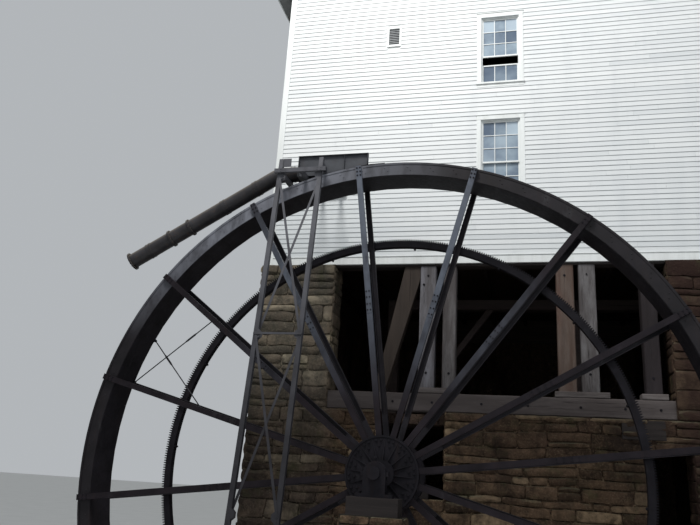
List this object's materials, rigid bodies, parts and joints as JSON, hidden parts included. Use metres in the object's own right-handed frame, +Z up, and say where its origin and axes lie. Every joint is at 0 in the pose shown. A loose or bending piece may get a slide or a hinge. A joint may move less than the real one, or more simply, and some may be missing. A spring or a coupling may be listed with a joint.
{
  "type": "watermill with overshot waterwheel",
  "caption": "White clapboard grist mill on a tall stone base with an open undercroft, and a large iron overshot waterwheel fed by a penstock on a steel trestle.",
  "frame": {"origin": "on the ground plane at the bottom of the stone walls, under the middle of the whole object", "axes": "+X along the wheel wall to the right, +Y into the house, +Z up"},
  "size_m": [14.5, 15.62, 23.9553],
  "materials": {
    "sandstone": "rough",
    "weathered_timber": "rough",
    "whitewashed_timber": "rough",
    "floor_boards": "matte",
    "white_clapboard": "satin",
    "window_glass": "gloss",
    "vent_paint": "matte",
    "door_paint": "matte",
    "roof_metal": "satin",
    "blue_grey_steel": "satin",
    "pipe_steel": "satin",
    "dark_steel": "satin",
    "cast_iron": "rough"
  },
  "bodies": {
    "structure": {"wheel_wall_left": "sandstone", "wheel_wall_base": "sandstone", "wheel_wall_right": "sandstone", "wheel_wall_lintel": "sandstone", "wheel_wall_end": "sandstone", "foundation_left": "sandstone", "foundation_right": "sandstone", "foundation_rear": "sandstone", "corner_pier_left": "sandstone", "corner_pier_right": "sandstone", "undercroft_floor": "sandstone", "sill_beam": "weathered_timber", "front_posts": "whitewashed_timber", "post_bases": "whitewashed_timber", "front_brace": "whitewashed_timber", "header_plate": "weathered_timber", "inner_frame": "weathered_timber", "lower_floor": "floor_boards", "upper_floor": "floor_boards", "attic_floor": "floor_boards", "floor_joists": "floor_boards", "front_wall": "white_clapboard", "rear_wall": "white_clapboard", "left_wall": "white_clapboard", "right_wall": "white_clapboard", "window_frames": "white_clapboard", "window_glass": "window_glass", "wall_vent": "vent_paint", "rear_door": "door_paint", "corner_boards": "white_clapboard", "roof_left": "roof_metal", "roof_right": "roof_metal", "ridge_cap": "roof_metal", "trestle_frame": "blue_grey_steel", "trestle_braces": "blue_grey_steel", "trestle_ties": "blue_grey_steel", "penstock_pipe": "pipe_steel", "penstock_elbow": "pipe_steel", "flume": "blue_grey_steel", "bearing_pier": "sandstone", "bearing_blocks": "weathered_timber", "front_bearing": "cast_iron", "rear_bearing": "cast_iron"},
    "waterwheel": {"front_shroud": "dark_steel", "rear_shroud": "dark_steel", "sole_plates": "dark_steel", "buckets": "dark_steel", "front_arms": "dark_steel", "rear_arms": "dark_steel", "segment_gear": "cast_iron", "tie_rods": "dark_steel", "front_hub": "cast_iron", "rear_hub": "cast_iron", "axle": "dark_steel"}
  },
  "joints": [
    {"name": "wheel_turn", "type": "hinge", "parent": "structure", "child": "waterwheel", "pos_m": [-1.03, -5.44, 6.6], "axis": [0, 1, 0], "continuous": true}
  ]
}
